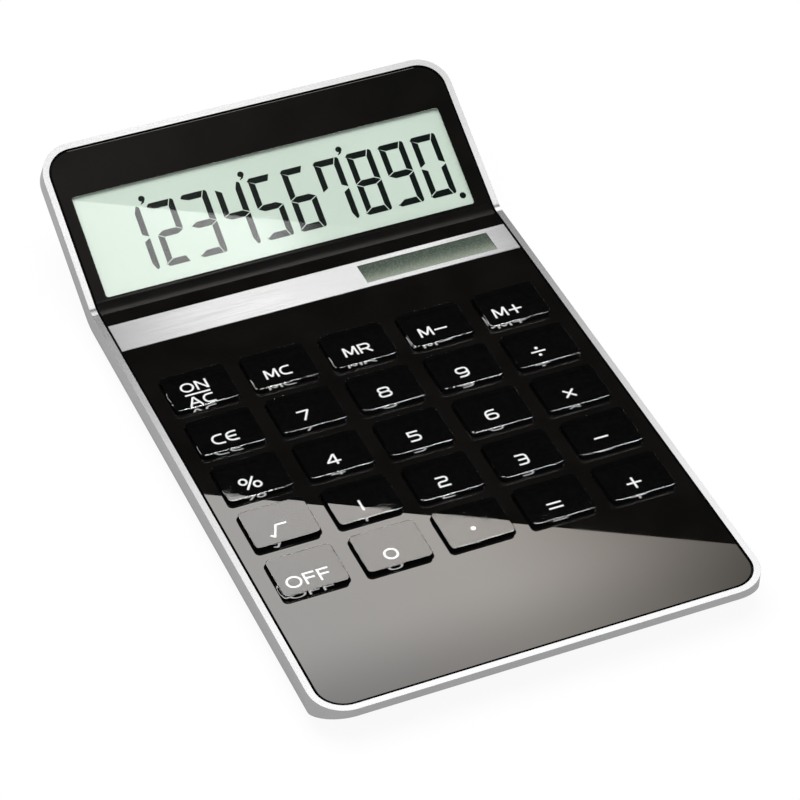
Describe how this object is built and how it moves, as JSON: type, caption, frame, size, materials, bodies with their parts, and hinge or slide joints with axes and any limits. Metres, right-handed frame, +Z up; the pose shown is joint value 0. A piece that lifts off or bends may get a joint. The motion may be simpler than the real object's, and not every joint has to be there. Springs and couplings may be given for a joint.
{
  "type": "solar desk calculator",
  "caption": "Slim solar desk calculator: level keypad with sprung clear keys, raised liquid crystal display, silver rim, gloss black face, sliding battery door.",
  "frame": {"origin": "middle of the case's box, on the surface that its feet stand on", "axes": "+X to the user's right, +Y from the front edge towards the raised display, +Z up"},
  "size_m": [0.103, 0.1758, 0.03],
  "materials": {
    "silver_lacquer": "satin silver lacquer on moulded plastic",
    "grey_plastic": "fine spark-eroded texture",
    "black_gloss": "polished",
    "clear_acrylic": "clear, polished",
    "key_acrylic": "clear cap, black and white print on its underside",
    "brushed_aluminium": "brushed along its length",
    "solar_glass": "amorphous silicon on glass",
    "wire_sleeve": "insulated wire",
    "lcd_glass": "pale green liquid crystal cell",
    "foil": "satin reflector",
    "foam": "soft foam",
    "ribbon_film": "printed film",
    "black_silicone": "matt silicone",
    "carbon_rubber": "conductive",
    "board_laminate": "solder mask",
    "potting": "epoxy",
    "cell_steel": "nickel plated",
    "contact_brass": "sprung sheet",
    "screw_steel": "zinc plated",
    "foot_rubber": "matt"
  },
  "bodies": {
    "case": {"top_case": "silver_lacquer", "back_cover": "grey_plastic", "face_panel": "black_gloss", "display_window": "clear_acrylic", "solar_strip": "brushed_aluminium", "solar_cell": "solar_glass", "solar_leads": "wire_sleeve", "lcd_glass": "lcd_glass", "lcd_reflector": "foil", "lcd_pads": "foam", "lcd_ribbon": "ribbon_film", "rubber_keypad": "black_silicone", "contact_pills": "carbon_rubber", "circuit_board": "board_laminate", "potted_chip": "potting", "button_cell": "cell_steel", "battery_top_contact": "contact_brass", "battery_side_contact": "contact_brass", "case_screws": "screw_steel", "board_screws": "screw_steel", "rubber_feet": "foot_rubber"},
    "key_on_ac": {"key_on_ac": "key_acrylic"},
    "key_mc": {"key_mc": "key_acrylic"},
    "key_mr": {"key_mr": "key_acrylic"},
    "key_m_minus": {"key_m_minus": "key_acrylic"},
    "key_m_plus": {"key_m_plus": "key_acrylic"},
    "key_ce": {"key_ce": "key_acrylic"},
    "key_7": {"key_7": "key_acrylic"},
    "key_8": {"key_8": "key_acrylic"},
    "key_9": {"key_9": "key_acrylic"},
    "key_divide": {"key_divide": "key_acrylic"},
    "key_percent": {"key_percent": "key_acrylic"},
    "key_4": {"key_4": "key_acrylic"},
    "key_5": {"key_5": "key_acrylic"},
    "key_6": {"key_6": "key_acrylic"},
    "key_multiply": {"key_multiply": "key_acrylic"},
    "key_root": {"key_root": "key_acrylic"},
    "key_1": {"key_1": "key_acrylic"},
    "key_2": {"key_2": "key_acrylic"},
    "key_3": {"key_3": "key_acrylic"},
    "key_minus": {"key_minus": "key_acrylic"},
    "key_off": {"key_off": "key_acrylic"},
    "key_0": {"key_0": "key_acrylic"},
    "key_point": {"key_point": "key_acrylic"},
    "key_equals": {"key_equals": "key_acrylic"},
    "key_plus": {"key_plus": "key_acrylic"},
    "door": {"battery_door": "grey_plastic"}
  },
  "joints": [
    {"name": "key_on_ac_press", "type": "slide", "parent": "case", "child": "key_on_ac", "axis": [0, 0, -1], "range_m": [0, 0.0012], "stiffness_N_per_m": 500, "deforming": ["rubber_keypad"]},
    {"name": "key_mc_press", "type": "slide", "parent": "case", "child": "key_mc", "axis": [0, 0, -1], "range_m": [0, 0.0012], "stiffness_N_per_m": 500, "deforming": ["rubber_keypad"]},
    {"name": "key_mr_press", "type": "slide", "parent": "case", "child": "key_mr", "axis": [0, 0, -1], "range_m": [0, 0.0012], "stiffness_N_per_m": 500, "deforming": ["rubber_keypad"]},
    {"name": "key_m_minus_press", "type": "slide", "parent": "case", "child": "key_m_minus", "axis": [0, 0, -1], "range_m": [0, 0.0012], "stiffness_N_per_m": 500, "deforming": ["rubber_keypad"]},
    {"name": "key_m_plus_press", "type": "slide", "parent": "case", "child": "key_m_plus", "axis": [0, 0, -1], "range_m": [0, 0.0012], "stiffness_N_per_m": 500, "deforming": ["rubber_keypad"]},
    {"name": "key_ce_press", "type": "slide", "parent": "case", "child": "key_ce", "axis": [0, 0, -1], "range_m": [0, 0.0012], "stiffness_N_per_m": 500, "deforming": ["rubber_keypad"]},
    {"name": "key_7_press", "type": "slide", "parent": "case", "child": "key_7", "axis": [0, 0, -1], "range_m": [0, 0.0012], "stiffness_N_per_m": 500, "deforming": ["rubber_keypad"]},
    {"name": "key_8_press", "type": "slide", "parent": "case", "child": "key_8", "axis": [0, 0, -1], "range_m": [0, 0.0012], "stiffness_N_per_m": 500, "deforming": ["rubber_keypad"]},
    {"name": "key_9_press", "type": "slide", "parent": "case", "child": "key_9", "axis": [0, 0, -1], "range_m": [0, 0.0012], "stiffness_N_per_m": 500, "deforming": ["rubber_keypad"]},
    {"name": "key_divide_press", "type": "slide", "parent": "case", "child": "key_divide", "axis": [0, 0, -1], "range_m": [0, 0.0012], "stiffness_N_per_m": 500, "deforming": ["rubber_keypad"]},
    {"name": "key_percent_press", "type": "slide", "parent": "case", "child": "key_percent", "axis": [0, 0, -1], "range_m": [0, 0.0012], "stiffness_N_per_m": 500, "deforming": ["rubber_keypad"]},
    {"name": "key_4_press", "type": "slide", "parent": "case", "child": "key_4", "axis": [0, 0, -1], "range_m": [0, 0.0012], "stiffness_N_per_m": 500, "deforming": ["rubber_keypad"]},
    {"name": "key_5_press", "type": "slide", "parent": "case", "child": "key_5", "axis": [0, 0, -1], "range_m": [0, 0.0012], "stiffness_N_per_m": 500, "deforming": ["rubber_keypad"]},
    {"name": "key_6_press", "type": "slide", "parent": "case", "child": "key_6", "axis": [0, 0, -1], "range_m": [0, 0.0012], "stiffness_N_per_m": 500, "deforming": ["rubber_keypad"]},
    {"name": "key_multiply_press", "type": "slide", "parent": "case", "child": "key_multiply", "axis": [0, 0, -1], "range_m": [0, 0.0012], "stiffness_N_per_m": 500, "deforming": ["rubber_keypad"]},
    {"name": "key_root_press", "type": "slide", "parent": "case", "child": "key_root", "axis": [0, 0, -1], "range_m": [0, 0.0012], "stiffness_N_per_m": 500, "deforming": ["rubber_keypad"]},
    {"name": "key_1_press", "type": "slide", "parent": "case", "child": "key_1", "axis": [0, 0, -1], "range_m": [0, 0.0012], "stiffness_N_per_m": 500, "deforming": ["rubber_keypad"]},
    {"name": "key_2_press", "type": "slide", "parent": "case", "child": "key_2", "axis": [0, 0, -1], "range_m": [0, 0.0012], "stiffness_N_per_m": 500, "deforming": ["rubber_keypad"]},
    {"name": "key_3_press", "type": "slide", "parent": "case", "child": "key_3", "axis": [0, 0, -1], "range_m": [0, 0.0012], "stiffness_N_per_m": 500, "deforming": ["rubber_keypad"]},
    {"name": "key_minus_press", "type": "slide", "parent": "case", "child": "key_minus", "axis": [0, 0, -1], "range_m": [0, 0.0012], "stiffness_N_per_m": 500, "deforming": ["rubber_keypad"]},
    {"name": "key_off_press", "type": "slide", "parent": "case", "child": "key_off", "axis": [0, 0, -1], "range_m": [0, 0.0012], "stiffness_N_per_m": 500, "deforming": ["rubber_keypad"]},
    {"name": "key_0_press", "type": "slide", "parent": "case", "child": "key_0", "axis": [0, 0, -1], "range_m": [0, 0.0012], "stiffness_N_per_m": 500, "deforming": ["rubber_keypad"]},
    {"name": "key_point_press", "type": "slide", "parent": "case", "child": "key_point", "axis": [0, 0, -1], "range_m": [0, 0.0012], "stiffness_N_per_m": 500, "deforming": ["rubber_keypad"]},
    {"name": "key_equals_press", "type": "slide", "parent": "case", "child": "key_equals", "axis": [0, 0, -1], "range_m": [0, 0.0012], "stiffness_N_per_m": 500, "deforming": ["rubber_keypad"]},
    {"name": "key_plus_press", "type": "slide", "parent": "case", "child": "key_plus", "axis": [0, 0, -1], "range_m": [0, 0.0012], "stiffness_N_per_m": 500, "deforming": ["rubber_keypad"]},
    {"name": "battery_door_slide", "type": "slide", "parent": "case", "child": "door", "axis": [0, 1, 0], "range_m": [0, 0.015]}
  ]
}
